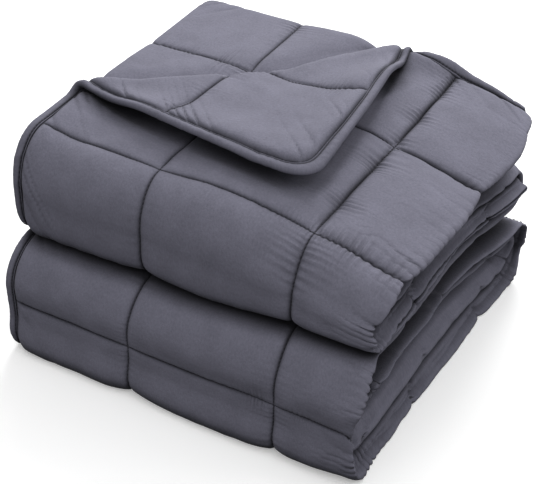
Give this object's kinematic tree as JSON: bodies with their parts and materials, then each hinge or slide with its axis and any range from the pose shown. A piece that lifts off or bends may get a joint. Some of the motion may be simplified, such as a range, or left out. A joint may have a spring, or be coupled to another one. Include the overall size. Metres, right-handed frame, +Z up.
{
  "type": "weighted blanket",
  "caption": "Quilted weighted blanket folded into a stack with two rounded front rolls, stacked fold ends on one side and one bound corner turned down over the top.",
  "frame": {"origin": "middle of the underside of the folded stack", "axes": "+Z up; the rounded front rolls face -Y; the stacked fold ends are on +X and the bound side edges on -X"},
  "size_m": [0.3208, 0.3134, 0.2068],
  "materials": {
    "slate_quilting": "matt brushed microfibre, quilted",
    "slate_binding": "matt brushed microfibre, folded and stitched"
  },
  "bodies": {
    "root": {"quilt": "slate_quilting", "binding": "slate_binding"}
  },
  "joints": []
}
